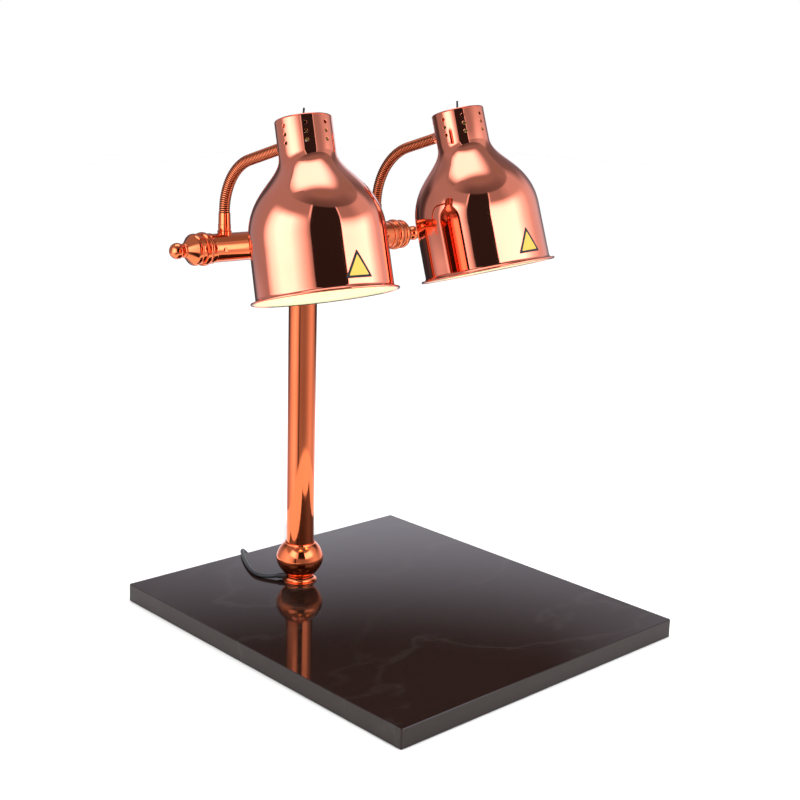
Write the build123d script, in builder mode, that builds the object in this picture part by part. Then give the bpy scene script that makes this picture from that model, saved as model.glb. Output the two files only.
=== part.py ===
from build123d import *
from math import cos, pi, radians, sin, tan
import os

# Twin-head heat lamp warmer: a heavy board, a column with a cross arm, and two copper
# lamp heads on flexible goosenecks.
# +X runs along the cross arm, -Y is the serving side, +Z is up.
# The origin is the middle of the board's underside.

# ---- Driving dimensions (millimetres and degrees) ----
board_width = 490
board_depth = 555
board_thickness = 25
board_edge = 0.8
pad_radius = 20
pad_thickness = 2
pad_inset = 45

column_x = -50
column_y = 144.5
column_radius = 19
tube_wall = 1.5

foot_height = 57
foot_socket = 36
foot_cavity_radius = 10
foot_screw_circle = 15
screw_radius = 2.5
screw_length = 31
screw_head_radius = 4.3
screw_head_height = 5
screw_recess_depth = 8

arm_height = 501.6
arm_radius = 18
arm_inner_end = 30
arm_outer_end = 154.9
tee_radius = 19.5
tee_half_length = 75
ball_offset = 199
ball_radius = 10
lamp_offset = 128

stem_radius = 5
stem_bore = 3
ferrule_radius = 8
ferrule_tip_radius = 7.25
nipple_radius = 7.6
ferrule_top = 545.5
saddle_radius = 9
saddle_top = 522.6
inner_saddle_radius = 7
inner_saddle_bottom = 514.9
round_nut_radius = 7
round_nut_height = 4

hose_radius = 7
hose_bore = 4.2
ball_gap = 0.3
hinge_from_axis = 66

neck_radius = 33.6
neck_length = 42
skirt_radius = 80.2
rim_radius = 87
head_height = 208
sheet = 1.2
cap_edge = 2
entry_depth = 24
vent_radius = 2.25
vent_depths = (10.5, 20.5, 30.5)
vent_columns = 8
vent_start_angle = 233.3

lever_lean = 14
lever_radius = 1.2
lever_length = 14.5
pivot_depth = 1
label_height = 32
label_half_width = 17.5

cord_radius = 2.75
tie_thickness = 0.8

running = 0.05
fitted = 0.02

# Each lamp leans forward by its tilt, and is rolled about its hose by a few degrees.
side_specs = {
    "left": {
        "x": column_x - lamp_offset, "bend_radius": 71.2, "straight": 112.2, "tilt": 15.6, "roll": 2.3,
        "label_angle": 261,
    },
    "right": {
        "x": column_x + lamp_offset, "bend_radius": 83.8, "straight": 101.3, "tilt": 15.9, "roll": -2.8,
        "label_angle": 267.5,
    },
}

os.makedirs("parts", exist_ok=True)


def save(builder, name):
    """Label a finished piece and write it."""
    builder.part.label = name
    export_step(builder.part, f"parts/{name}.step")


def polar(radius, angle):
    """A point at this distance and heading from the column's axis, in plan."""
    return column_x + radius * cos(radians(angle)), column_y + radius * sin(radians(angle))


# ---- Base ----
foot_base = board_thickness
exit_heading = 140
exit_height = foot_base + 5.2
screw_headings = [exit_heading + 60 + 120 * k for k in range(3)]
screw_places = [polar(foot_screw_circle, heading) for heading in screw_headings]

with BuildPart() as base_board:
    Box(board_width, board_depth, board_thickness, align=(Align.CENTER, Align.CENTER, Align.MIN))
    chamfer(base_board.edges().filter_by(Axis.Z), 2 * board_edge)
    chamfer(base_board.faces().sort_by(Axis.Z)[-1].edges(), board_edge)
    chamfer(base_board.faces().sort_by(Axis.Z)[0].edges(), board_edge)
    with BuildSketch(Plane.XY):
        with GridLocations(board_width - 2 * pad_inset, board_depth - 2 * pad_inset, 2, 2):
            Circle(pad_radius + running)
    extrude(amount=pad_thickness, mode=Mode.SUBTRACT)
    with BuildSketch(Plane.XY):
        with Locations(screw_places):
            Circle(screw_head_radius + 0.7)
    extrude(amount=screw_recess_depth, mode=Mode.SUBTRACT)
    with BuildSketch(Plane.XY):
        with Locations(screw_places):
            Circle(screw_radius + 0.15)
    extrude(amount=board_thickness, mode=Mode.SUBTRACT)
save(base_board, "base_board")

with BuildPart() as anti_slip_pads:
    with BuildSketch(Plane.XY):
        with GridLocations(board_width - 2 * pad_inset, board_depth - 2 * pad_inset, 2, 2):
            Circle(pad_radius)
    extrude(amount=pad_thickness)
save(anti_slip_pads, "anti_slip_pads")

with BuildPart() as base_screws:
    with BuildSketch(Plane.XY.offset(screw_recess_depth)):
        with Locations(screw_places):
            Circle(screw_radius)
    extrude(amount=screw_length - 1)
    with BuildSketch(Plane.XY.offset(screw_recess_depth)):
        with Locations(screw_places):
            Circle(screw_head_radius)
    extrude(amount=-screw_head_height)
    with BuildSketch(Plane.XY.offset(screw_recess_depth - screw_head_height)):
        with Locations(screw_places):
            RegularPolygon(2, 6)
    extrude(amount=screw_head_height / 2, mode=Mode.SUBTRACT)
save(base_screws, "base_screws")

# Foot collar: a turned bulb that the column stands in; its cavity leads the cable up the column.
column_axis = Axis((column_x, column_y, 0), (0, 0, 1))
foot_section = Plane(origin=(column_x, column_y, foot_base), x_dir=(1, 0, 0), z_dir=(0, -1, 0))
exit_direction = Vector(cos(radians(exit_heading)), sin(radians(exit_heading)), 0)
exit_plane = Plane(origin=(column_x, column_y, exit_height), z_dir=exit_direction)

with BuildPart() as foot_collar:
    with BuildSketch(foot_section):
        with BuildLine():
            step = Line((24, 0), (24, 1.5))
            cove = ThreePointArc(step @ 1, (20.7, 4.4), (19.6, 8))
            bulb = Spline(
                cove @ 1, (22.8, 12.6), (30, 23), (33, 33), (30.7, 42.6), (21.4, 55),
                tangents=((0.35, 1), (-1, 0.75)),
            )
            Polyline(
                bulb @ 1, (20.6, foot_height), (column_radius + fitted, foot_height),
                (column_radius + fitted, foot_socket), (foot_cavity_radius, foot_socket),
                (foot_cavity_radius, 0), step @ 0,
            )
        make_face()
    revolve(axis=column_axis)
    with BuildSketch(Plane.XY.offset(foot_base)):
        with Locations(screw_places):
            Circle(screw_radius + fitted)
    extrude(amount=15, mode=Mode.SUBTRACT)
    with BuildSketch(exit_plane.offset(8)):
        Circle(4.5 + running)
    extrude(amount=20, mode=Mode.SUBTRACT)
save(foot_collar, "foot_collar")

relief_inner = 10.8
relief_tip = 30.5
with BuildPart() as cord_relief:
    with BuildSketch(exit_plane.offset(relief_inner)):
        Circle(4.5)
    extrude(amount=9.5)
    with BuildSketch(exit_plane.offset(relief_inner + 9.5)):
        Circle(4.5)
    with BuildSketch(exit_plane.offset(relief_tip)):
        Circle(3.5)
    loft()
    with BuildSketch(exit_plane.offset(relief_inner)):
        Circle(cord_radius)
    extrude(amount=relief_tip - relief_inner - 1, mode=Mode.SUBTRACT)
save(cord_relief, "cord_relief")

# ---- Column and cross arm ----
column_bottom = foot_base + foot_socket
arm_axis = Axis((column_x, column_y, arm_height), (1, 0, 0))
arm_plane = Plane(origin=(column_x, column_y, arm_height), x_dir=(0, 1, 0), z_dir=(1, 0, 0))

with BuildPart() as column_tube:
    with BuildSketch(Plane.XY.offset(column_bottom)):
        with Locations((column_x, column_y)):
            Circle(column_radius)
            Circle(column_radius - tube_wall, mode=Mode.SUBTRACT)
    extrude(amount=arm_height - column_bottom)
    with BuildSketch(arm_plane.offset(-40)):
        Circle(tee_radius + fitted)
    extrude(amount=80, mode=Mode.SUBTRACT)
save(column_tube, "column_tube")

set_screw_offset = 60
set_screw_radius = 2
with BuildPart() as tee_sleeve:
    with BuildSketch(arm_plane.offset(-tee_half_length)):
        Circle(tee_radius)
        Circle(arm_radius + fitted, mode=Mode.SUBTRACT)
    extrude(amount=2 * tee_half_length)
    with BuildSketch(Plane.XY.offset(arm_height - 25)):
        with Locations((column_x, column_y)):
            Circle(9)
        with Locations((column_x - set_screw_offset, column_y), (column_x + set_screw_offset, column_y)):
            Circle(set_screw_radius + fitted)
    extrude(amount=25, mode=Mode.SUBTRACT)
save(tee_sleeve, "tee_sleeve")

with BuildPart() as arm_screws:
    with BuildSketch(Plane.XY.offset(arm_height - tee_radius - 0.3)):
        with Locations((column_x - set_screw_offset, column_y), (column_x + set_screw_offset, column_y)):
            Circle(set_screw_radius)
            RegularPolygon(1, 6, mode=Mode.SUBTRACT)
    extrude(amount=5)
save(arm_screws, "arm_screws")

finial_screw_offset = 138.5
front_plane = Plane(origin=(column_x, column_y, arm_height), x_dir=(1, 0, 0), z_dir=(0, -1, 0))
for side, sign in (("left", -1), ("right", 1)):
    with BuildPart() as arm_tube:
        start = arm_inner_end if sign > 0 else -arm_outer_end
        with BuildSketch(arm_plane.offset(start)):
            Circle(arm_radius)
            Circle(arm_radius - tube_wall, mode=Mode.SUBTRACT)
        extrude(amount=arm_outer_end - arm_inner_end)
        with BuildSketch(Plane.XY.offset(arm_height)):
            with Locations((column_x + sign * lamp_offset, column_y)):
                Circle(stem_radius + running)
        extrude(amount=arm_radius + 2, mode=Mode.SUBTRACT)
        with BuildSketch(Plane.XY.offset(arm_height)):
            with Locations((column_x + sign * set_screw_offset, column_y)):
                Circle(set_screw_radius + fitted)
        extrude(amount=-arm_radius - 2, mode=Mode.SUBTRACT)
        with BuildSketch(front_plane):
            with Locations((sign * finial_screw_offset, 0)):
                Circle(1.5 + fitted)
        extrude(amount=arm_radius + 2, mode=Mode.SUBTRACT)
    save(arm_tube, f"{side}_arm_tube")

    # The finial is turned about the arm's axis; its outline is measured from the ball's centre inwards.
    finial_section = Plane(
        origin=(column_x + sign * ball_offset, column_y, arm_height),
        x_dir=(-sign, 0, 0), z_dir=(0, sign, 0),
    )
    spigot_end = ball_offset - 135.8
    with BuildPart() as finial:
        with BuildSketch(finial_section):
            with BuildLine():
                ball = CenterArc((0, 0), ball_radius, 180, -130)
                waist = Line(ball @ 1, (8, 7.3))
                collar = ThreePointArc(waist @ 1, (9.7, 9), (11.3, 8.2))
                cone = Polyline(collar @ 1, (21, 18.6), (22, 19.3))
                ring_1 = ThreePointArc(cone @ 1, (25, 20.6), (28, 19.3))
                groove = Polyline(ring_1 @ 1, (28, 18.5), (33.5, 18.5), (33.5, 20.2))
                ring_2 = ThreePointArc(groove @ 1, (37.5, 21.1), (41.5, 20.2))
                Polyline(
                    ring_2 @ 1, (41.5, 19.2), (43, 19.2), (43.5, 18.7), (44.5, 19), (50, 19),
                    (50, arm_radius + fitted), (44, arm_radius + fitted), (44, 16.45),
                    (spigot_end, 16.45), (spigot_end, 12), (30, 12), (30, 0), ball @ 0,
                )
            make_face()
        revolve(axis=arm_axis)
        with BuildSketch(front_plane):
            with Locations((sign * finial_screw_offset, 0)):
                Circle(1.5 + fitted)
        extrude(amount=arm_radius + 2, mode=Mode.SUBTRACT)
    save(finial, f"{side}_finial")

finial_screw_places = [(-finial_screw_offset, 0), (finial_screw_offset, 0)]
with BuildPart() as finial_screws:
    with BuildSketch(front_plane.offset(14)):
        with Locations(finial_screw_places):
            Circle(1.5)
    extrude(amount=arm_radius - 14)
    with BuildSketch(front_plane.offset(arm_radius)):
        with Locations(finial_screw_places):
            Circle(2.6)
    extrude(amount=1.4)
    with BuildSketch(front_plane.offset(arm_radius + 0.7)):
        with Locations(finial_screw_places):
            Rectangle(3.4, 0.6)
    extrude(amount=1, mode=Mode.SUBTRACT)
save(finial_screws, "finial_screws")

# Saddle washers seat the ferrules and their nuts on the round arm tube, outside and inside.
lamp_places = [(spec["x"], column_y) for spec in side_specs.values()]
with BuildPart() as outer_saddles:
    with BuildSketch(Plane.XY.offset(arm_height + 12)):
        with Locations(lamp_places):
            Circle(saddle_radius)
            Circle(stem_radius + running, mode=Mode.SUBTRACT)
    extrude(amount=saddle_top - arm_height - 12)
    with BuildSketch(arm_plane.offset(-arm_outer_end)):
        Circle(arm_radius + fitted)
    extrude(amount=2 * arm_outer_end, mode=Mode.SUBTRACT)
save(outer_saddles, "outer_saddles")

with BuildPart() as inner_saddles:
    with BuildSketch(Plane.XY.offset(inner_saddle_bottom)):
        with Locations(lamp_places):
            Circle(inner_saddle_radius)
            Circle(stem_radius + running, mode=Mode.SUBTRACT)
    extrude(amount=6)
    with BuildSketch(arm_plane.offset(-arm_outer_end)):
        Circle(arm_radius - tube_wall - fitted)
    extrude(amount=2 * arm_outer_end, mode=Mode.INTERSECT)
save(inner_saddles, "inner_saddles")

# ---- Wiring inside the stand ----
block_bottom = arm_height - 5
with BuildPart() as terminal_block:
    with BuildSketch(Plane.XY.offset(block_bottom)):
        with Locations((column_x, column_y)):
            RectangleRounded(36, 14, 2)
    extrude(amount=12)
    with BuildSketch(Plane.XY.offset(block_bottom + 12)):
        with Locations((column_x, column_y)):
            with GridLocations(12, 7, 3, 2):
                Circle(1.8)
    extrude(amount=-6, mode=Mode.SUBTRACT)
save(terminal_block, "terminal_block")

cable_start = polar(relief_inner, exit_heading)
with BuildPart() as column_cable:
    with BuildLine() as cable_path:
        FilletPolyline(
            (*cable_start, exit_height), (column_x, column_y, exit_height),
            (column_x, column_y, block_bottom), radius=8,
        )
    with BuildSketch(Plane(origin=cable_path.wire() @ 0, z_dir=cable_path.wire() % 0)):
        Circle(2.4)
    sweep()
save(column_cable, "column_cable")

lead_height = arm_height - 4
with BuildPart() as arm_leads:
    for sign in (-1, 1):
        with BuildLine() as lead_path:
            FilletPolyline(
                (column_x + sign * 18, column_y, lead_height),
                (column_x + sign * lamp_offset, column_y, lead_height),
                (column_x + sign * lamp_offset, column_y, arm_height + 7.4), radius=8,
            )
        with BuildSketch(Plane(origin=lead_path.wire() @ 0, z_dir=lead_path.wire() % 0)):
            Circle(1.6)
        sweep(path=lead_path.wire())
save(arm_leads, "arm_leads")

# ---- Goosenecks and lamp heads ----


def hose_piece(route, ball_end, cup_start):
    """A length of gooseneck hose, with a ball end or a cup start where it bends against its neighbour."""
    start = Plane(origin=route @ 0, z_dir=route % 0)
    end = Plane(origin=route @ 1, z_dir=route % 1)
    with BuildPart() as hose:
        with BuildSketch(start):
            Circle(hose_radius)
        sweep(path=route)
        if ball_end:
            with Locations(route @ 1):
                Sphere(hose_radius)
        if cup_start:
            with Locations(route @ 0):
                Sphere(hose_radius + ball_gap, mode=Mode.SUBTRACT)
        with BuildSketch(start):
            Circle(hose_bore)
        sweep(path=route, mode=Mode.SUBTRACT)
        if ball_end:
            with BuildSketch(end):
                Circle(hose_bore)
            extrude(amount=hose_radius + 1, mode=Mode.SUBTRACT)
    return hose


for side, spec in side_specs.items():
    lamp_x, bend_radius, tilt = spec["x"], spec["bend_radius"], spec["tilt"]
    turn = 90 - tilt
    back = Vector(0, cos(radians(tilt)), -sin(radians(tilt)))
    across = Vector(1, 0, 0).rotate(Axis((0, 0, 0), back), spec["roll"])
    up = across.cross(back)
    side_plane = Plane(origin=(lamp_x, 0, 0), x_dir=(0, 1, 0), z_dir=(1, 0, 0))
    bend_centre = (column_y - bend_radius, ferrule_top)
    bend_end = Vector(
        lamp_x,
        bend_centre[0] + bend_radius * cos(radians(turn)),
        bend_centre[1] + bend_radius * sin(radians(turn)),
    )
    entry = bend_end - back * spec["straight"]
    neck_top = entry + up * entry_depth
    arm_hinge = Vector(
        lamp_x,
        bend_centre[0] + bend_radius * cos(radians(turn / 2)),
        bend_centre[1] + bend_radius * sin(radians(turn / 2)),
    )
    head_hinge = entry + back * hinge_from_axis
    head = Plane(origin=neck_top, x_dir=across, z_dir=up)
    section = Plane(origin=neck_top, x_dir=across, z_dir=-back)
    lamp_axis = Axis(neck_top, up)
    hose_plane = Plane(origin=entry, x_dir=across, z_dir=back)
    print(side, "arm hinge", arm_hinge, "head hinge", head_hinge)
    print(side, "neck top", neck_top, "up", up, "back", back)

    with BuildPart() as ferrule:
        with BuildSketch(Plane.XY.offset(saddle_top + 0.1)):
            with Locations((lamp_x, column_y)):
                Circle(ferrule_radius)
        extrude(amount=8)
        with BuildSketch(Plane.XY.offset(saddle_top + 8.1)):
            with Locations((lamp_x, column_y)):
                Circle(ferrule_radius - 0.3)
        with BuildSketch(Plane.XY.offset(ferrule_top)):
            with Locations((lamp_x, column_y)):
                Circle(ferrule_tip_radius)
        loft()
        with BuildSketch(Plane.XY.offset(saddle_top + 0.1)):
            with Locations((lamp_x, column_y)):
                Circle(stem_radius)
        extrude(amount=-13)
        with BuildSketch(Plane.XY.offset(ferrule_top)):
            with Locations((lamp_x, column_y)):
                Circle(stem_bore)
        extrude(amount=-40, mode=Mode.SUBTRACT)
    save(ferrule, f"{side}_ferrule")

    with BuildPart() as ferrule_nut:
        with BuildSketch(Plane.XY.offset(inner_saddle_bottom - 0.1)):
            with Locations((lamp_x, column_y)):
                Circle(round_nut_radius)
                Circle(stem_radius + fitted, mode=Mode.SUBTRACT)
        extrude(amount=-round_nut_height)
    save(ferrule_nut, f"{side}_ferrule_nut")

    with BuildLine(side_plane) as lower_route:
        CenterArc(bend_centre, bend_radius, 0, turn / 2)
    save(hose_piece(lower_route.wire(), True, False), f"{side}_hose_lower")

    with BuildLine(side_plane) as middle_route:
        bend = CenterArc(bend_centre, bend_radius, turn / 2, turn / 2)
        Line(bend @ 1, (head_hinge.Y, head_hinge.Z))
    save(hose_piece(middle_route.wire(), True, True), f"{side}_hose_middle")

    nipple_length = neck_radius + 12
    nipple_end = entry + back * nipple_length
    with BuildLine(side_plane) as upper_route:
        Line((head_hinge.Y, head_hinge.Z), (nipple_end.Y, nipple_end.Z))
    save(hose_piece(upper_route.wire(), False, True), f"{side}_hose_upper")

    with BuildPart() as neck_nipple:
        with BuildSketch(hose_plane.offset(neck_radius - 4)):
            Circle(nipple_radius)
        extrude(amount=16)
        with BuildSketch(head.offset(-2 * entry_depth)):
            Circle(neck_radius + fitted)
        extrude(amount=2 * entry_depth, mode=Mode.SUBTRACT)
        with BuildSketch(hose_plane.offset(24)):
            Circle(stem_radius)
        extrude(amount=nipple_length - 24)
        with BuildSketch(hose_plane.offset(20)):
            Circle(stem_bore)
        extrude(amount=nipple_length, mode=Mode.SUBTRACT)
    save(neck_nipple, f"{side}_neck_nipple")

    # Two identical lock nuts: one on the neck nipple, one on the lampholder's stem.
    nut_height = 3.5
    bracket_face = 29.4
    bracket_depth = 34.5
    with BuildPart() as lock_nuts:
        with BuildSketch(hose_plane.offset(bracket_face - nut_height)):
            RegularPolygon(7, 6, major_radius=False)
            Circle(stem_radius + fitted, mode=Mode.SUBTRACT)
        extrude(amount=nut_height)
        with BuildSketch(head.offset(-bracket_depth)):
            RegularPolygon(7, 6, major_radius=False)
            Circle(stem_radius + fitted, mode=Mode.SUBTRACT)
        extrude(amount=nut_height)
    save(lock_nuts, f"{side}_lock_nuts")

    # The bracket hangs the lampholder on the lamp's axis from the nipple in the neck's wall.
    bracket_width = 16
    bracket_thickness = 1.5
    with BuildPart() as holder_bracket:
        with BuildSketch(head.offset(-bracket_depth - bracket_thickness)):
            with Locations((0, (bracket_face + bracket_thickness - 12) / 2)):
                Rectangle(bracket_width, bracket_face + bracket_thickness + 12)
        extrude(amount=bracket_thickness)
        with BuildSketch(hose_plane.offset(bracket_face)):
            with Locations((0, (bracket_depth - 2 * entry_depth + bracket_thickness + 14) / 2)):
                Rectangle(bracket_width, bracket_depth + bracket_thickness - 14)
        extrude(amount=bracket_thickness)
        with BuildSketch(head.offset(-bracket_depth - 5)):
            Circle(stem_radius + fitted)
        extrude(amount=10, mode=Mode.SUBTRACT)
        with BuildSketch(hose_plane.offset(bracket_face - 2)):
            Circle(stem_radius + fitted)
        extrude(amount=6, mode=Mode.SUBTRACT)
    save(holder_bracket, f"{side}_holder_bracket")

    # Shade: one spun sheet from the neck to the rolled rim, drawn along the middle of the sheet.
    bead_radius = 1.4
    bead_centre = (rim_radius - bead_radius, -head_height + bead_radius)
    neck_middle = neck_radius - sheet / 2
    skirt_middle = skirt_radius - sheet / 2
    with BuildPart(head) as shade:
        with BuildSketch(section):
            with BuildLine():
                neck = Line((neck_middle, -cap_edge), (neck_middle, -neck_length))
                shoulder = Spline(
                    neck @ 1, (48.3, -69.4), (67, -92.4), (skirt_middle - 0.9, -124), (skirt_middle, -150),
                    tangents=((0, -1), (0.01, -1)),
                )
                skirt = Line(shoulder @ 1, (skirt_middle + 0.6, -head_height + 6.5))
                TangentArc(skirt @ 1, bead_centre, tangent=(0, -1))
            trace(line_width=sheet)
            with Locations(bead_centre):
                Circle(bead_radius)
        revolve(axis=lamp_axis)
        for depth in vent_depths:
            for column in range(vent_columns):
                angle = (vent_start_angle + 360 / vent_columns * column) % 360
                if abs(angle - 90) > 20:
                    place = (neck_radius * cos(radians(angle)), neck_radius * sin(radians(angle)), -depth)
                    with Locations(Location(place, (0, 90, angle))):
                        Cylinder(vent_radius, 8, mode=Mode.SUBTRACT)
        with BuildSketch(hose_plane.offset(neck_radius - 6)):
            Circle(stem_radius + fitted)
        extrude(amount=12, mode=Mode.SUBTRACT)
    save(shade, f"{side}_shade")

    inner_neck = neck_radius - sheet
    bushing_radius = 3
    with BuildPart() as top_cap:
        with BuildSketch(section):
            with BuildLine():
                top = Line((bushing_radius + running, 0), (neck_radius - cap_edge, 0))
                edge = RadiusArc(top @ 1, (neck_radius, -cap_edge), cap_edge)
                Polyline(
                    edge @ 1, (inner_neck - running, -cap_edge), (inner_neck - running, -7),
                    (inner_neck - sheet, -7), (inner_neck - sheet, -1.3),
                    (bushing_radius + running, -1.3), top @ 0,
                )
            make_face()
        revolve(axis=lamp_axis)
    save(top_cap, f"{side}_top_cap")

    # Toggle switch: its body hangs under the cap, its threaded bushing comes up through it.
    with BuildPart() as switch_body:
        with BuildSketch(head.offset(-1.35)):
            RectangleRounded(13, 8, 0.8)
        extrude(amount=-10)
        with BuildSketch(head.offset(-11.35)):
            with GridLocations(4.7, 0, 3, 1):
                Rectangle(0.8, 2)
        extrude(amount=-4)
        with BuildSketch(head.offset(-1.35)):
            Circle(bushing_radius)
        extrude(amount=4.85)
        with BuildSketch(head.offset(-6.5)):
            Circle(2.45)
        extrude(amount=12, mode=Mode.SUBTRACT)
    save(switch_body, f"{side}_switch_body")

    with BuildPart() as switch_nut:
        with BuildSketch(head.offset(fitted)):
            RegularPolygon(4, 6, major_radius=False)
            Circle(bushing_radius + fitted, mode=Mode.SUBTRACT)
        extrude(amount=1.8)
    save(switch_nut, f"{side}_switch_nut")

    pivot = neck_top - up * pivot_depth
    lever_direction = across * sin(radians(lever_lean)) + up * cos(radians(lever_lean))
    lever_plane = Plane(origin=pivot, z_dir=lever_direction)
    with BuildPart() as switch_lever:
        with Locations(pivot):
            Sphere(2.2)
        with BuildSketch(lever_plane.offset(-4)):
            Circle(0.9)
        extrude(amount=4)
        with BuildSketch(lever_plane):
            Circle(lever_radius)
        extrude(amount=lever_length)
        fillet(switch_lever.edges().group_by(Axis(pivot, lever_direction))[-1], 0.8)
    save(switch_lever, f"{side}_switch_lever")

    # Lampholder: a ceramic body with a hollow stem, and a brass screw shell and contact inside it.
    holder_top = bracket_depth + bracket_thickness
    holder_mouth = holder_top + 50
    with BuildPart() as lampholder:
        with BuildSketch(section):
            with BuildLine():
                Polyline(
                    (stem_bore, -29), (stem_radius, -29), (stem_radius, -holder_top), (14, -holder_top),
                    (15, -holder_top - 6), (19.5, -holder_top - 10), (20, -holder_mouth),
                    (14.5, -holder_mouth), (14.5, -holder_top - 9), (stem_bore, -holder_top - 9),
                    close=True,
                )
            make_face()
        revolve(axis=lamp_axis)
    save(lampholder, f"{side}_lampholder")

    with BuildPart() as screw_shell:
        with BuildSketch(section):
            with Locations((14, -holder_top - 29)):
                Rectangle(0.7, 36)
            with Locations((4.25, -holder_top - 9.8)):
                Rectangle(2.5, 1.4)
        revolve(axis=lamp_axis)
    save(screw_shell, f"{side}_screw_shell")

    cap_top = holder_top + 11
    cap_bottom = holder_top + 43
    with BuildPart() as bulb_cap:
        with BuildSketch(section):
            with BuildLine():
                Polyline(
                    (0, -cap_top), (4.5, -cap_top), (5, -cap_top - 2), (12.6, -cap_top - 6),
                    (13.2, -cap_top - 8), (13.2, -cap_bottom), (0, -cap_bottom), close=True,
                )
            make_face()
        revolve(axis=lamp_axis)
    save(bulb_cap, f"{side}_bulb_cap")

    # Reflector bulb: a glass envelope that widens to a slightly domed face.
    bulb_radius = 47.5
    glass = 1
    face_depth = 178
    with BuildPart() as bulb_glass:
        with BuildSketch(section):
            with BuildLine():
                base = Line((13.1, -cap_bottom - 0.1), (13.1, -cap_bottom - 9))
                flank = Spline(
                    base @ 1, (20.5, -cap_bottom - 24), (40, -cap_bottom - 52),
                    (bulb_radius - glass / 2, -158),
                    tangents=((0, -1), (0, -1)),
                )
                turn_in = TangentArc(flank @ 1, (40, -face_depth + 5.7), tangent=(0, -1))
                ThreePointArc(turn_in @ 1, (22, -face_depth + 1.9), (0, -face_depth + glass / 2))
            trace(line_width=glass)
            with BuildLine():
                Polyline((0, -60), (60, -60), (60, -200), (0, -200), close=True)
            make_face(mode=Mode.INTERSECT)
        revolve(axis=lamp_axis)
    save(bulb_glass, f"{side}_bulb_glass")

    # A blank three-cornered label on the skirt, above the rim.
    radial = across * cos(radians(spec["label_angle"])) + back * sin(radians(spec["label_angle"]))
    label_plane = Plane(origin=neck_top - up * 185, x_dir=up.cross(radial), z_dir=radial)
    label_foot = -label_height / 3
    with BuildPart() as label:
        with BuildSketch(section):
            with BuildLine():
                Polyline(
                    (skirt_radius + fitted, -150), (skirt_radius + 0.6 + fitted, -head_height + 6.5),
                    (skirt_radius + 0.9, -head_height + 6.5), (skirt_radius + 0.3, -150), close=True,
                )
            make_face()
        revolve(axis=lamp_axis)
        with BuildSketch(label_plane) as label_sketch:
            with BuildLine():
                Polyline(
                    (0, label_foot + label_height), (-label_half_width, label_foot),
                    (label_half_width, label_foot), close=True,
                )
            make_face()
            fillet(label_sketch.vertices(), 1.2)
        extrude(amount=skirt_radius + 10, mode=Mode.INTERSECT)
    save(label, f"{side}_label")

# ---- Power cord ----
# The cord leaves the foot, crosses the board, drops over its back edge and ends in a tied hank
# that holds the plug.
cord_route = [
    (-73.4, 164.1, 30.2),
    (-81.1, 170.5, 28.7),
    (-88.2, 182.0, 27.75),
    (-90.3, 196.3, 27.75),
    (-82.5, 220.1, 27.75),
    (-70.2, 246.3, 27.75),
    (-55.6, 272.0, 27.75),
    (-47.6, 283.9, 27.75),
    (-37.5, 293.7, 22.6),
    (-27.5, 299.5, 13.0),
    (-16.9, 302.5, 6.1),
    (-1.3, 303.9, 2.8),
    (20.5, 301.0, 2.75),
    (37.0, 299.5, 2.9),
    (49.7, 302.2, 3.2),
    (60.6, 309.0, 3.5),
    (68.2, 318.0, 3.6),
]
hank_start = (74.3, 298.6)
hank_heading = 51.1
hank_run = 116
hank_radius = 16.5
hank_bottom = tie_thickness + 0.05
hank_turns = 3.5
hank_plane = Plane(
    origin=(*hank_start, 0), z_dir=(0, 0, 1),
    x_dir=(cos(radians(hank_heading)), sin(radians(hank_heading)), 0),
)


def fillet_radii(points):
    """The largest arc at each corner of a route that leaves a tenth of its shorter run straight."""
    corners = [Vector(*p) for p in points]
    radii = []
    for before, corner, after in zip(corners, corners[1:], corners[2:]):
        run_in, run_out = corner - before, after - corner
        half_turn = radians(run_in.get_angle(run_out)) / 2
        radii.append(0.45 * min(run_in.length, run_out.length) / tan(half_turn))
    return radii


def cord_tube(points, plane=Plane.XY):
    """A cord tube along straight runs joined by tangent arcs."""
    radii = fillet_radii(points)
    with BuildPart() as tube:
        with BuildLine(plane) as path:
            FilletPolyline(*points, radius=radii)
        with BuildSketch(Plane(origin=path.wire() @ 0, z_dir=path.wire() % 0)):
            Circle(cord_radius)
        sweep(path=path.wire())
    length = path.wire().length
    print("radii", [round(r, 1) for r in radii], "length", round(length, 1))
    print("volume over section times length", round(tube.part.volume / (pi * cord_radius**2 * length), 4))
    return tube, length


power_cord, route_length = cord_tube(cord_route)
save(power_cord, "power_cord")

stack_height = 2 * cord_radius * (hank_turns + 1)
with BuildPart() as cord_hank:
    with BuildSketch(hank_plane.offset(hank_bottom)):
        with Locations((hank_run / 2, 0)):
            SlotCenterToCenter(hank_run, 2 * (hank_radius + cord_radius))
            SlotCenterToCenter(hank_run, 2 * (hank_radius - cord_radius), mode=Mode.SUBTRACT)
    extrude(amount=stack_height)
save(cord_hank, "cord_hank")

# In the hank's own frame: x runs along it from the board, y across it, z up.
tail_route = [
    (116, -16.5, 22.8),
    (107, -16.1, 22.7),
    (94, -12.8, 21.2),
    (82, -7.6, 17.6),
    (70.5, -3.0, 13.7),
    (60.5, -0.6, 11.5),
    (53.5, 0, 11.0),
]
cord_tail, tail_length = cord_tube(tail_route, hank_plane)
save(cord_tail, "cord_tail")
hank_length = hank_turns * 2 * (hank_run + pi * hank_radius)
print("cord length", round(route_length + hank_length + tail_length, 1))

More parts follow.
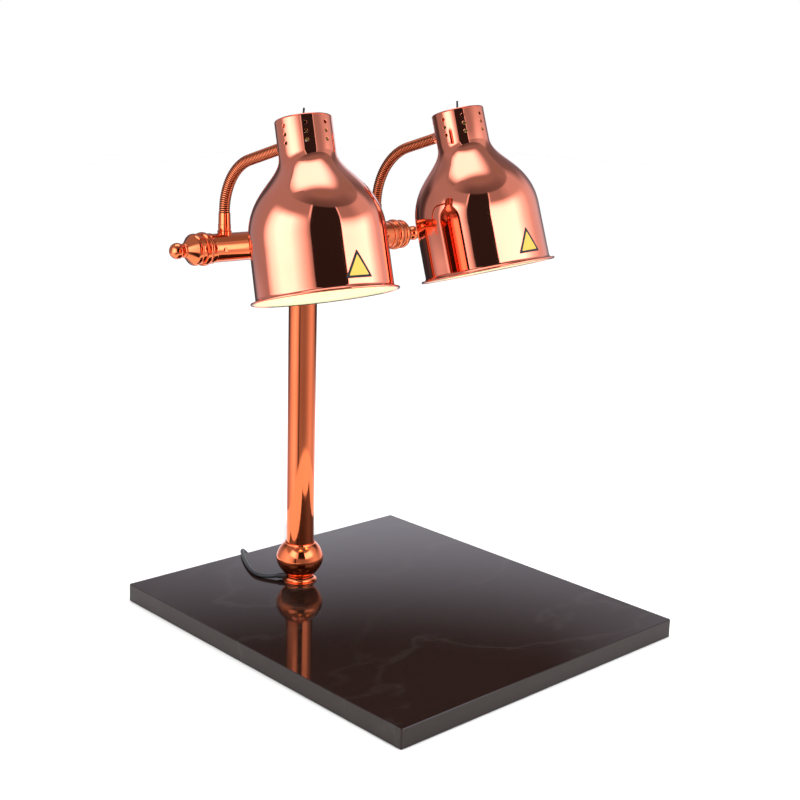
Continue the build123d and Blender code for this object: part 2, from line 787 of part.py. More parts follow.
with BuildPart() as cord_tie:
    tie_plane = Plane(
        origin=hank_plane.from_local_coords((88, 0, 0)), x_dir=(0, 0, 1), z_dir=hank_plane.x_dir,
    )
    tie_height = stack_height + 0.1
    tie_width = 2 * (hank_radius + cord_radius) + 0.4
    with BuildSketch(tie_plane.offset(-3)):
        with Locations((hank_bottom - 0.05 + tie_height / 2, 0)):
            RectangleRounded(tie_height + 2 * tie_thickness, tie_width + 2 * tie_thickness, 2)
            Rectangle(tie_height, tie_width, mode=Mode.SUBTRACT)
    extrude(amount=6)
save(cord_tie, "cord_tie")

plug_height = 11
plug_start = 53.5
plug_plane = Plane(
    origin=hank_plane.from_local_coords((plug_start, 0, plug_height)),
    x_dir=(0, 0, 1), z_dir=-hank_plane.x_dir,
)
pin_length = 15
with BuildPart() as mains_plug:
    with BuildSketch(plug_plane):
        Circle(3.4)
    with BuildSketch(plug_plane.offset(18)):
        Circle(5.5)
    loft()
    with BuildSketch(plug_plane.offset(18)):
        RectangleRounded(14, 16, 5)
    with BuildSketch(plug_plane.offset(28)):
        RectangleRounded(22, 24, 6)
    loft()
    with BuildSketch(plug_plane.offset(28)):
        RectangleRounded(22, 24, 6)
    extrude(amount=21)
save(mains_plug, "mains_plug")

with BuildPart() as plug_pins:
    with BuildSketch(plug_plane.offset(49)):
        with Locations((-3, -6.35), (-3, 6.35)):
            Rectangle(6.3, 1.5)
        with Locations((6, 0)):
            Circle(2.4)
    extrude(amount=pin_length)
save(plug_pins, "plug_pins")
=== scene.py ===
from math import cos, degrees, hypot, pi, radians, sin, sqrt

import bmesh
import bpy
import numpy as np
from mathutils import Matrix, Vector


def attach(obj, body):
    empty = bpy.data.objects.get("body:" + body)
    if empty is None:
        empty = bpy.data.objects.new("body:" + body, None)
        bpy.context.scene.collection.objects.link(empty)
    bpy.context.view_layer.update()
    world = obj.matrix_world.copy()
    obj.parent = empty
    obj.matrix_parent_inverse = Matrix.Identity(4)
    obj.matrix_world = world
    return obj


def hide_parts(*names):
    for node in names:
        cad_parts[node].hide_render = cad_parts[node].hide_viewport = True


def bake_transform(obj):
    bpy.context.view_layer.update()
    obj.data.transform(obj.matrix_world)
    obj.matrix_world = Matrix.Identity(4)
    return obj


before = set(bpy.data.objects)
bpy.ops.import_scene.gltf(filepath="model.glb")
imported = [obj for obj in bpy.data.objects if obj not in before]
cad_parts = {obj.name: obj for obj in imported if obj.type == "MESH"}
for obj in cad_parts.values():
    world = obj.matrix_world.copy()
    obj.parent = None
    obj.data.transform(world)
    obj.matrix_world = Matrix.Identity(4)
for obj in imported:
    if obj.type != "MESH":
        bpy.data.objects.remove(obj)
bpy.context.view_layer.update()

MM = 0.001

# ---- Sizes that the looks share with the CAD model, in millimetres and degrees ----
BOARD_TOP = 25
COLUMN = (-50, 144.5)
COLUMN_RADIUS = 19
TUBE_WALL = 1.5
FOOT_HEIGHT = 57
FOOT_SOCKET = 36
ARM_HEIGHT = 501.6
ARM_RADIUS = 18
ARM_END = 154.9
TEE_RADIUS = 19.5
TEE_HALF = 75
BALL_OFFSET = 199
LAMP_OFFSET = 128
SADDLE_TOP = 522.7
FERRULE_TOP = 545.5
FERRULE_RADIUS = 8
HOSE_RADIUS = 7
HINGE_FROM_AXIS = 66
NIPPLE_END = 45.6
NECK_RADIUS = 33.6
NECK_LENGTH = 42
ENTRY_DEPTH = 24
SKIRT_RADIUS = 80.2
RIM_RADIUS = 87
HEAD_HEIGHT = 208
SHEET = 1.2
BEAD = 1.4
VENT_RADIUS = 2.25
VENT_DEPTHS = (10.5, 20.5, 30.5)
VENT_START = 233.3
LAMPS = {
    "left": {
        "x": COLUMN[0] - LAMP_OFFSET, "radius": 71.2, "straight": 112.2, "tilt": 15.6, "roll": 2.3,
        "label": 261,
    },
    "right": {
        "x": COLUMN[0] + LAMP_OFFSET, "radius": 83.8, "straight": 101.3, "tilt": 15.9, "roll": -2.8,
        "label": 267.5,
    },
}


class Head:
    """Where a lamp head is: its neck's top, its axis and the direction of the hose that enters it."""

    def __init__(self, x, radius, straight, tilt, roll, label):
        lean, turn = radians(tilt), radians(roll)
        upright = np.array([0, sin(lean), cos(lean)])
        along = np.array([1.0, 0, 0])
        self.x = x
        self.radius = radius
        self.straight = straight
        self.turn = 90 - tilt
        self.label = radians(label)
        self.back = np.array([0, cos(lean), -sin(lean)])
        self.side = along * cos(turn) - upright * sin(turn)
        self.up = upright * cos(turn) + along * sin(turn)
        self.centre = np.array([x, COLUMN[1] - radius, FERRULE_TOP])
        self.bend_end = self.on_bend(self.turn)
        self.entry = self.bend_end - self.back * straight
        self.top = self.entry + self.up * ENTRY_DEPTH
        self.hinge = self.entry + self.back * HINGE_FROM_AXIS

    def on_bend(self, angle):
        """The point of the hose's bend at this angle from the arm."""
        return self.centre + self.radius * np.array([0, cos(radians(angle)), sin(radians(angle))])


HEADS = {side: Head(**spec) for side, spec in LAMPS.items()}


# ---- Camera ----
def make_camera():
    """A camera on the serving side, to the left of the lamps and a little above them.

    Another script solved its place and turn from the board's corners in the photograph.
    """
    right = Vector((0.73378572, -0.67877506, 0.02868681))
    up = Vector((0.13846415, 0.19075761, 0.97182262))
    back = right.cross(up)
    data = bpy.data.cameras.new("camera")
    data.sensor_width = 36
    data.lens = 60.75
    data.clip_start = 0.05
    camera = bpy.data.objects.new("camera", data)
    bpy.context.scene.collection.objects.link(camera)
    turn = Matrix((right, up, back)).transposed().to_4x4()
    camera.matrix_world = Matrix.Translation((-1.17702, -1.25309, 0.71977)) @ turn
    bpy.context.scene.camera = camera


make_camera()


# ---- Materials ----
def new_material(name):
    """An empty node material with its shader, and the node tree's links."""
    material = bpy.data.materials.new(name)
    material.use_nodes = True
    shader = material.node_tree.nodes["Principled BSDF"]
    return material, material.node_tree, shader


def node(tree, kind, **inputs):
    """A node with its input sockets set: underscores in their names stand for spaces."""
    made = tree.nodes.new(kind)
    for name, value in inputs.items():
        made.inputs[name.replace("_", " ")].default_value = value
    return made


def object_noise(tree, scale, detail=3, stretch=(1, 1, 1)):
    """Noise in the object's own space."""
    coordinates = tree.nodes.new("ShaderNodeTexCoord")
    mapping = node(tree, "ShaderNodeMapping", Scale=stretch)
    noise = node(tree, "ShaderNodeTexNoise", Scale=scale, Detail=detail)
    tree.links.new(coordinates.outputs["Object"], mapping.inputs["Vector"])
    tree.links.new(mapping.outputs["Vector"], noise.inputs["Vector"])
    return noise.outputs["Fac"]


def ramp(tree, fac, *stops):
    """A colour ramp through (place, colour) stops."""
    made = tree.nodes.new("ShaderNodeValToRGB")
    elements = made.color_ramp.elements
    while len(elements) < len(stops):
        elements.new(0.5)
    for element, (place, colour) in zip(elements, stops):
        element.position = place
        element.color = (*colour, 1) if len(colour) == 3 else colour
    tree.links.new(fac, made.inputs["Fac"])
    return made.outputs["Color"]


def span(tree, fac, low, high):
    """The noise's middle range, spread from low to high."""
    made = node(tree, "ShaderNodeMapRange", From_Min=0.3, From_Max=0.7, To_Min=low, To_Max=high)
    tree.links.new(fac, made.inputs["Value"])
    return made.outputs["Result"]


def bump(tree, shader, height, strength, distance):
    """Fine relief from a height."""
    made = node(tree, "ShaderNodeBump", Strength=strength, Distance=distance)
    tree.links.new(height, made.inputs["Height"])
    tree.links.new(made.outputs["Normal"], shader.inputs["Normal"])


def copper(name, deep, light, roughness, coat=0.0):
    """Polished copper plate: faint tarnish clouds, fine hazing and a trace of waviness."""
    material, tree, shader = new_material(name)
    shader.inputs["Metallic"].default_value = 1
    shader.inputs["Coat Weight"].default_value = coat
    shader.inputs["Coat Roughness"].default_value = 0.03
    clouds = object_noise(tree, 9, 4)
    tree.links.new(ramp(tree, clouds, (0.3, deep), (0.7, light)), shader.inputs["Base Color"])
    haze = object_noise(tree, 60, 5)
    tree.links.new(span(tree, haze, *roughness), shader.inputs["Roughness"])
    wave = object_noise(tree, 26, 1)
    bump(tree, shader, wave, 0.05, 0.0004)
    return material


def hose_copper(name):
    """Copper-plated hose: bright on the ribs, with painted shade darkening the grooves between them almost
    to black.
    """
    material, tree, shader = new_material(name)
    shader.inputs["Metallic"].default_value = 1
    groove = tree.nodes.new("ShaderNodeAttribute")
    groove.attribute_name = "groove"
    # The groove depth paints shade into the copper colour: the deeper the groove, the darker the copper.
    colour = ramp(
        tree, groove.outputs["Fac"],
        (0.0, (0.8, 0.22, 0.09)), (0.35, (0.34, 0.07, 0.026)), (0.65, (0.035, 0.007, 0.004)),
    )
    tree.links.new(colour, shader.inputs["Base Color"])
    grain = object_noise(tree, 700, 2)
    tree.links.new(span(tree, grain, 0.14, 0.26), shader.inputs["Roughness"])
    return material


def plain(name, dark, light, roughness, scale, relief=0.0, metallic=0.0, detail=4):
    """A mottled material: plastic, rubber, ceramic, brass or steel."""
    material, tree, shader = new_material(name)
    shader.inputs["Metallic"].default_value = metallic
    mottle = object_noise(tree, scale, detail)
    tree.links.new(ramp(tree, mottle, (0.3, dark), (0.7, light)), shader.inputs["Base Color"])
    grain = object_noise(tree, scale * 6, 3)
    tree.links.new(span(tree, grain, *roughness), shader.inputs["Roughness"])
    if relief:
        bump(tree, shader, grain, relief, 0.0003)
    return material


def polished_stone(name):
    """Dark engineered stone: brown-black body, fine crystals, faint smoky veins and a polished face."""
    material, tree, shader = new_material(name)
    shader.inputs["Specular IOR Level"].default_value = 0.28
    coordinates = tree.nodes.new("ShaderNodeTexCoord")
    crystals = node(tree, "ShaderNodeTexVoronoi", Scale=900)
    tree.links.new(coordinates.outputs["Object"], crystals.inputs["Vector"])
    dark, light = (0.008, 0.004, 0.003), (0.019, 0.0085, 0.0065)
    speckle = ramp(tree, crystals.outputs["Distance"], (0.1, dark), (0.75, light))
    clouds = object_noise(tree, 5, 5)
    veins = object_noise(tree, 3.2, 8, (1, 1.7, 1))
    vein_line = ramp(tree, veins, (0.485, (0, 0, 0)), (0.5, (0.55, 0.55, 0.55)), (0.515, (0, 0, 0)))
    smoke = tree.nodes.new("ShaderNodeMix")
    smoke.data_type = "RGBA"
    smoke.inputs["B"].default_value = (0.05, 0.041, 0.038, 1)
    veil = tree.nodes.new("ShaderNodeMath")
    veil.operation = "MULTIPLY"
    tree.links.new(vein_line, veil.inputs[0])
    tree.links.new(span(tree, clouds, 0.0, 0.7), veil.inputs[1])
    tree.links.new(veil.outputs["Value"], smoke.inputs["Factor"])
    tree.links.new(speckle, smoke.inputs["A"])
    tree.links.new(smoke.outputs["Result"], shader.inputs["Base Color"])
    haze = object_noise(tree, 40, 5)
    tree.links.new(span(tree, haze, 0.035, 0.085), shader.inputs["Roughness"])
    return material


def lamp_glass(name):
    """Frosted bulb glass that glows warm, brightest in the middle of its face."""
    material, tree, shader = new_material(name)
    frost = object_noise(tree, 120, 4)
    warm = ramp(tree, frost, (0.3, (0.93, 0.86, 0.66)), (0.7, (1, 0.95, 0.8)))
    tree.links.new(warm, shader.inputs["Base Color"])
    tree.links.new(span(tree, frost, 0.3, 0.45), shader.inputs["Roughness"])
    glow = tree.nodes.new("ShaderNodeAttribute")
    glow.attribute_name = "glow"
    strength = node(tree, "ShaderNodeMapRange", From_Min=0, From_Max=1, To_Min=0.4, To_Max=4)
    tree.links.new(glow.outputs["Fac"], strength.inputs["Value"])
    shader.inputs["Emission Color"].default_value = (1, 0.9, 0.55, 1)
    tree.links.new(strength.outputs["Result"], shader.inputs["Emission Strength"])
    return material


SHADE_COPPER = copper("rose_copper", (0.86, 0.24, 0.135), (0.9, 0.275, 0.16), (0.04, 0.07), coat=0.25)
TUBE_COPPER = copper("tube_copper", (0.78, 0.17, 0.06), (0.83, 0.2, 0.075), (0.045, 0.08))
HOSE_COPPER = hose_copper("hose_copper")
# The shade's pale reflector lining; its yellow tint is painted warm glow from the lit bulbs.
GLOW_TINTED_LINING = plain("reflector_lining_glow_tint", (0.88, 0.87, 0.55), (0.94, 0.93, 0.62), (0.35, 0.45), 40, 0.05)
STONE = polished_stone("polished_stone")
PAD = plain("pad_rubber", (0.018, 0.018, 0.018), (0.032, 0.031, 0.03), (0.7, 0.85), 90, 0.4)
STEEL = plain("screw_steel", (0.52, 0.52, 0.54), (0.68, 0.68, 0.7), (0.22, 0.34), 60, 0.05, metallic=1)
BLACK_PLASTIC = plain("switch_plastic", (0.006, 0.006, 0.0065), (0.012, 0.012, 0.013), (0.5, 0.6), 80, 0.08)
PORCELAIN = plain("porcelain", (0.8, 0.78, 0.72), (0.88, 0.86, 0.81), (0.12, 0.2), 30)
BRASS = plain("brass", (0.66, 0.47, 0.2), (0.78, 0.59, 0.28), (0.2, 0.32), 70, 0.05, metallic=1)
SHEATH = plain("cord_sheath", (0.014, 0.014, 0.015), (0.024, 0.024, 0.025), (0.38, 0.5), 300, 0.15)
PLUG = plain("plug_plastic", (0.016, 0.016, 0.018), (0.028, 0.028, 0.03), (0.4, 0.5), 120, 0.2)
TIE = plain("tie_strap", (0.02, 0.02, 0.02), (0.04, 0.04, 0.04), (0.5, 0.65), 400, 0.5)
GLASS = lamp_glass("bulb_glass")
LABEL_YELLOW = plain("label_yellow", (0.62, 0.4, 0.03), (0.67, 0.45, 0.045), (0.3, 0.4), 60, 0.03)
LABEL_BLACK = plain("label_border", (0.004, 0.004, 0.004), (0.009, 0.009, 0.009), (0.65, 0.75), 60)


# ---- Cord ----
HANK_START = (0.0743, 0.2986)
HANK_HEADING = radians(51.1)
HANK_RUN = 0.116
HANK_RADIUS = 0.0165
HANK_TURNS = 3.5
LAP_RISE = 0.0055
FIRST_LAYER = 0.0036
CORD_DIAMETER = 0.0055


def hank_point(along, across, height):
    """A point of the hank's own frame in the object's frame."""
    c, s = cos(HANK_HEADING), sin(HANK_HEADING)
    return (HANK_START[0] + along * c - across * s, HANK_START[1] + along * s + across * c, height)


def hank_points():
    """Control points of the laps: two on each straight run and six at each fold."""
    fold_step = radians(30)
    fold_radius = HANK_RADIUS / cos(fold_step / 2)
    half_lap = HANK_RUN + pi * HANK_RADIUS
    points = []
    for half in range(int(2 * HANK_TURNS)):
        outward = half % 2 == 0
        sign = 1 if outward else -1
        for share in (0.36, 0.7):
            run = HANK_RUN * (share if outward else 1 - share)
            gone = half + HANK_RUN * share / half_lap
            points.append(hank_point(run, sign * HANK_RADIUS, FIRST_LAYER + LAP_RISE * gone / 2))
        for k in range(6):
            angle = radians(75) - k * fold_step
            turned = (HANK_RUN + HANK_RADIUS * (radians(15) + k * fold_step)) / half_lap
            along = (HANK_RUN if outward else 0) + sign * fold_radius * cos(angle)
            height = FIRST_LAYER + LAP_RISE * (half + turned) / 2
            points.append(hank_point(along, sign * fold_radius * sin(angle), height))
    return points


CORD_ROUTE = [
    (-0.0734, 0.1641, 0.0302),
    (-0.0811, 0.1705, 0.0287),
    (-0.0882, 0.1820, 0.02775),
    (-0.0903, 0.1963, 0.02775),
    (-0.0825, 0.2201, 0.02775),
    (-0.0702, 0.2463, 0.02775),
    (-0.0556, 0.2720, 0.02775),
    (-0.0476, 0.2839, 0.02775),
    (-0.0375, 0.2937, 0.0226),
    (-0.0275, 0.2995, 0.0130),
    (-0.0169, 0.3025, 0.0061),
    (-0.0013, 0.3039, 0.0028),
    (0.0205, 0.3010, 0.00275),
    (0.0370, 0.2995, 0.0029),
    (0.0497, 0.3022, 0.0032),
    (0.0606, 0.3090, 0.0035),
    (0.0682, 0.3180, 0.0036),
]
TAIL_ROUTE = [
    (0.107, -0.0161, 0.0227),
    (0.094, -0.0128, 0.0212),
    (0.082, -0.0076, 0.0176),
    (0.0705, -0.0030, 0.0137),
    (0.0605, -0.0006, 0.0115),
    (0.0535, 0.0, 0.0110),
]


def make_cord():
    """The mains lead: from the foot over the board's back edge into a tied hank that holds the plug."""
    curve = bpy.data.curves.new("mains_lead", "CURVE")
    curve.dimensions = "3D"
    curve.bevel_depth = CORD_DIAMETER / 2
    curve.bevel_resolution = 6
    curve.use_fill_caps = True
    points = CORD_ROUTE + hank_points() + [hank_point(*p) for p in TAIL_ROUTE]
    spline = curve.splines.new("NURBS")
    spline.points.add(len(points) - 1)
    for made, place in zip(spline.points, points):
        made.co = (*place, 1)
    spline.order_u = 3
    spline.use_endpoint_u = True
    spline.resolution_u = 8
    lead = bpy.data.objects.new("mains_lead", curve)
    bpy.context.scene.collection.objects.link(lead)
    lead.data.materials.append(SHEATH)
    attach(lead, "stand")
    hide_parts("power_cord", "cord_hank", "cord_tail")
    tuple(CORD_ROUTE[0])


make_cord()


# ---- Mesh helpers ----
def arc(centre, radius, start, end, steps):
    """Points of an arc between two angles, both ends included."""
    angles = [radians(start + (end - start) * k / steps) for k in range(steps + 1)]
    return [(centre[0] + radius * cos(a), centre[1] + radius * sin(a)) for a in angles]


def smooth_through(points, first, last, steps=10):
    """A smooth curve through the points, with these directions at its ends."""
    p = np.array(points, float)
    gap = np.linalg.norm(np.diff(p, axis=0), axis=1)
    count = len(p)
    matrix = np.zeros((count, count))
    slopes = np.zeros((count, 2))
    matrix[0, 0] = matrix[-1, -1] = 1
    slopes[0] = np.array(first) / np.linalg.norm(first)
    slopes[-1] = np.array(last) / np.linalg.norm(last)
    for i in range(1, count - 1):
        matrix[i, i - 1:i + 2] = gap[i], 2 * (gap[i - 1] + gap[i]), gap[i - 1]
        before, after = (p[i] - p[i - 1]) / gap[i - 1], (p[i + 1] - p[i]) / gap[i]
        slopes[i] = 3 * (gap[i] * before + gap[i - 1] * after)
    slopes = np.linalg.solve(matrix, slopes)
    curve = []
    for i in range(count - 1):
        for k in range(steps):
            t = k / steps
            curve.append(
                p[i] * (1 + 2 * t) * (1 - t) ** 2 + p[i + 1] * t * t * (3 - 2 * t)
                + gap[i] * (slopes[i] * t * (1 - t) ** 2 - slopes[i + 1] * t * t * (1 - t))
            )
    return [tuple(q) for q in curve] + [tuple(p[-1])]


def soften(points, radius=0.3, closed=True, least=25):
    """The outline with each sharp corner rounded a little."""
    made = []
    count = len(points)
    for i, here in enumerate(points):
        if not closed and i in (0, count - 1):
            made.append(here)
            continue
        q = np.array(here, float)
        a, b = np.array(points[i - 1], float) - q, np.array(points[(i + 1) % count], float) - q
        la, lb = np.linalg.norm(a), np.linalg.norm(b)
        turn = pi - np.arccos(np.clip(a @ b / (la * lb), -1, 1))
        reach = min(radius, la * 0.4, lb * 0.4)
        if turn < radians(least) or here[0] < 1e-6:
            made.append(here)
            continue
        start, end = q + a / la * reach, q + b / lb * reach
        for t in (0, 0.25, 0.5, 0.75, 1):
            made.append(tuple(start * (1 - t) ** 2 + 2 * q * t * (1 - t) + end * t * t))
    return made


def add_piece(name, vertices, faces, materials, slot, body=None, face_materials=None, sharp=32):
    """A smooth-shaded mesh piece from points in millimetres."""
    mesh = bpy.data.meshes.new(name)
    mesh.from_pydata([tuple(np.array(v) * MM) for v in vertices], [], faces)
    for material in materials:
        mesh.materials.append(material)
    if face_materials is not None:
        mesh.polygons.foreach_set("material_index", face_materials)
    work = bmesh.new()
    work.from_mesh(mesh)
    bmesh.ops.remove_doubles(work, verts=work.verts, dist=1e-7)
    bmesh.ops.recalc_face_normals(work, faces=work.faces)
    work.to_mesh(mesh)
    work.free()
    mesh.polygons.foreach_set("use_smooth", [True] * len(mesh.polygons))
    mesh.set_sharp_from_angle(angle=radians(sharp))
    made = bpy.data.objects.new(name, mesh)
    bpy.context.scene.collection.objects.link(made)
    if body:
        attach(made, body)
    return made


def turned_mesh(profile, origin, axis, side, segments, closed=True):
    """Vertices and faces of a profile of (radius, height) points, turned about an axis."""
    axis, side = np.array(axis, float), np.array(side, float)
    other = np.cross(axis, side)
    origin = np.array(origin, float)
    vertices, rings = [], []
    for radius, height in profile:
        if radius < 1e-6:
            rings.append([len(vertices)] * segments)
            vertices.append(origin + axis * height)
            continue
        rings.append(list(range(len(vertices), len(vertices) + segments)))
        for k in range(segments):
            a = 2 * pi * k / segments
            vertices.append(origin + axis * height + radius * (side * cos(a) + other * sin(a)))
    faces = []
    pairs = list(zip(rings, rings[1:])) + ([(rings[-1], rings[0])] if closed else [])
    for lower, upper in pairs:
        for k in range(segments):
            n = (k + 1) % segments
            corners = [lower[k], lower[n], upper[n], upper[k]]
            unique = list(dict.fromkeys(corners))
            if len(unique) > 2:
                faces.append(unique)
    return vertices, faces


def turned(name, profile, origin, axis, side, material, slot, body, *nodes, segments=96):
    """A turned piece that stands for CAD nodes."""
    vertices, faces = turned_mesh(profile, origin, axis, side, segments)
    made = add_piece(name, vertices, faces, [material], slot, body)
    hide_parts(*nodes)
    return made


UP = (0, 0, 1)
ALONG = (1, 0, 0)


# ---- Column, foot and cross arm ----
def make_foot():
    """The bulb-shaped foot collar."""
    cove = arc((24.35, 6.2), 4.95, 256, 159, 8)
    bulb = smooth_through(
        [(19.6, 8), (22.8, 12.6), (30, 23), (33, 33), (30.7, 42.6), (21.4, 55)], (0.35, 1), (-1, 0.75)
    )
    outline = [(10, 0), (24, 0), (24, 1.4), *cove[1:-1], *bulb, (20.6, FOOT_HEIGHT), (19.02, FOOT_HEIGHT)]
    outline += [(19.02, FOOT_SOCKET), (10, FOOT_SOCKET)]
    turned(
        "foot_bulb", soften(outline), (*COLUMN, BOARD_TOP), UP, ALONG, TUBE_COPPER, "tube_copper", "stand",
        "foot_collar", segments=128,
    )


def make_column():
    """The column tube, cut to the sleeve at its top."""
    bottom = BOARD_TOP + FOOT_SOCKET
    inner = COLUMN_RADIUS - TUBE_WALL
    heights = [bottom, bottom + 60, bottom + 200, bottom + 340]
    segments = 96
    vertices = []
    for radius, levels in ((COLUMN_RADIUS, heights), (inner, heights[::-1])):
        rims = [*levels, None] if radius == COLUMN_RADIUS else [None, *levels]
        for level in rims:
            for k in range(segments):
                a = 2 * pi * k / segments
                x, y = radius * cos(a), radius * sin(a)
                z = level if level is not None else ARM_HEIGHT - sqrt(TEE_RADIUS**2 - y * y) + 0.02
                vertices.append((COLUMN[0] + x, COLUMN[1] + y, z))
    rings = len(vertices) // segments
    faces = []
    for ring in range(rings):
        low, high = ring * segments, (ring + 1) % rings * segments
        for k in range(segments):
            n = (k + 1) % segments
            faces.append((low + k, low + n, high + n, high + k))
    made = add_piece("column", vertices, faces, [TUBE_COPPER], "tube_copper", "stand")
    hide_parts("column_tube")


def make_arm():
    """The middle sleeve, the two arm tubes and their finials."""
    centre = (*COLUMN, ARM_HEIGHT)
    tee = [
        (ARM_RADIUS + 0.02, -TEE_HALF), (TEE_RADIUS, -TEE_HALF), (TEE_RADIUS, TEE_HALF),
        (ARM_RADIUS + 0.02, TEE_HALF),
    ]
    turned(
        "arm_sleeve", soften(tee, 0.5), centre, ALONG, (0, 1, 0), TUBE_COPPER, "tube_copper", "stand",
        "tee_sleeve",
    )
    for side, sign in (("left", -1), ("right", 1)):
        axis = (sign, 0, 0)
        tube = [(ARM_RADIUS, along) for along in (30, 60, 120, ARM_END)]
        tube = [(ARM_RADIUS - TUBE_WALL, 30), *tube, (ARM_RADIUS - TUBE_WALL, ARM_END)]
        turned(
            f"{side}_arm", tube, centre, axis, (0, 1, 0), TUBE_COPPER, "tube_copper", "stand",
            f"{side}_arm_tube",
        )
        ball = arc((0, 0), 10, 180, 50, 22)
        collar = smooth_through([(8, 7.3), (9.7, 9), (11.3, 8.2)], (0.2, 1), (0.5, -1), 6)
        ring_1 = arc((25, 11.9), 8.0, 112, 68, 8)
        ring_2 = arc((37.5, 11.75), 9.35, 115.3, 64.7, 8)
        outline = [
            (-10, 0), *ball[1:], *collar, (21, 18.6), (22, 19.3), *ring_1[1:-1], (28, 19.3), (28, 18.5),
            (33.5, 18.5), (33.5, 20.2), *ring_2[1:-1], (41.5, 20.2), (41.5, 19.2), (43, 19.2), (43.5, 18.7),
            (44.5, 19), (50, 19), (50, 18.02), (44, 18.02), (44, 16.45), (63, 16.45), (63, 12), (30, 12),
            (30, 0),
        ]
        profile = [(max(r, 0), -x) for x, r in outline]
        tip = (COLUMN[0] + sign * BALL_OFFSET, COLUMN[1], ARM_HEIGHT)
        turned(
            f"{side}_finial_turning", soften(profile, 0.3, closed=False), tip, axis, (0, 1, 0), TUBE_COPPER,
            "tube_copper", "stand", f"{side}_finial", segments=112,
        )


make_foot()
make_column()
make_arm()


# ---- Goosenecks ----
RIB_PITCH = 2.9
RINGS_PER_RIB = 10
AROUND = 32
RIB_DEPTH = 0.7
RIB_SHARPNESS = 1.1
BEND_SHARES = (0.08, 0.92)
TILT_REACH = (26, 18)


def ribbed_tube(name, places, travelled):
    """A hose of wound ribs along places, each a point and a direction; travelled is the length to each."""
    vertices, groove = [], []
    sideways = np.array([1.0, 0, 0])
    for (point, direction), s in zip(places, travelled):
        outward = np.cross(direction, sideways)
        for k in range(AROUND):
            a = 2 * pi * k / AROUND
            phase = 2 * pi * s / RIB_PITCH - a
            valley = (1 - abs(cos(phase / 2))) ** RIB_SHARPNESS
            radius = HOSE_RADIUS - RIB_DEPTH * valley
            vertices.append(point + radius * (sideways * cos(a) + outward * sin(a)))
            # How deep this point lies in a groove, kept for the painted shade in the hose's material.
            groove.append(valley)
    faces = []
    for ring in range(len(travelled) - 1):
        low, high = ring * AROUND, (ring + 1) * AROUND
        for k in range(AROUND):
            n = (k + 1) % AROUND
            faces.append((low + k, low + n, high + n, high + k))
    last = (len(travelled) - 1) * AROUND
    faces += [tuple(range(AROUND)), tuple(last + k for k in range(AROUND))]
    made = add_piece(name, vertices, faces, [HOSE_COPPER], "hose_copper", sharp=60)
    attribute = made.data.attributes.new("groove", "FLOAT", "POINT")
    attribute.data.foreach_set("value", np.array(groove, np.float32))
    return made


def make_gooseneck(side, head):
    """The bent and the straight stretch of the hose; each lies across one hinge of the model."""
    step = RIB_PITCH / RINGS_PER_RIB
    bend_length = head.radius * radians(head.turn)
    rings = int(bend_length / step)
    travelled = [bend_length * k / rings for k in range(rings + 1)]
    places = []
    for s in travelled:
        a = s / head.radius
        places.append((head.on_bend(degrees(a)), np.array([0, -sin(a), cos(a)])))
    bent = ribbed_tube(f"{side}_hose_bend", places, travelled)
    start, end = (head.on_bend(share * head.turn) for share in BEND_SHARES)
    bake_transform(bent)
    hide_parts(f"{side}_hose_lower", f"{side}_hose_middle")

    run = head.straight - NIPPLE_END + 1
    rings = int(run / step)
    gone = [run * k / rings for k in range(rings + 1)]
    places = [(head.bend_end - head.back * s, -head.back) for s in gone]
    straight = ribbed_tube(f"{side}_hose_straight", places, [bend_length + s for s in gone])
    start, end = head.hinge + head.back * TILT_REACH[0], head.hinge - head.back * TILT_REACH[1]
    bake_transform(straight)
    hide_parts(f"{side}_hose_upper")


def make_ferrule(side, head):
    """The plain ferrule between the arm and the hose."""
    outline = [
        (5, -13), (5, 0), (FERRULE_RADIUS, 0), (FERRULE_RADIUS, 8), (FERRULE_RADIUS - 0.3, 8.3),
        (7.35, FERRULE_TOP - SADDLE_TOP), (3, FERRULE_TOP - SADDLE_TOP), (3, -13),
    ]
    turned(
        f"{side}_hose_ferrule", soften(outline, 0.35), (head.x, COLUMN[1], SADDLE_TOP), UP, ALONG,
        TUBE_COPPER, "tube_copper", f"{side}_gooseneck_foot", f"{side}_ferrule", segments=64,
    )


# ---- Lamp heads ----
COLUMN_STEPS = 16
ROW_STEPS = 5
VENT_COLUMNS = 8
ROW_HEIGHT = 10
GLOW_START = 140
GLOW_DEPTH = 36


def ring_around(width, height):
    """Grid points round a cell, anticlockwise from its lower right corner, as shares of its half size."""
    right = [(1, -1 + 2 * k / height) for k in range(height)]
    top = [(1 - 2 * k / width, 1) for k in range(width)]
    left = [(-1, 1 - 2 * k / height) for k in range(height)]
    bottom = [(-1 + 2 * k / width, -1) for k in range(width)]
    return right + top + left + bottom


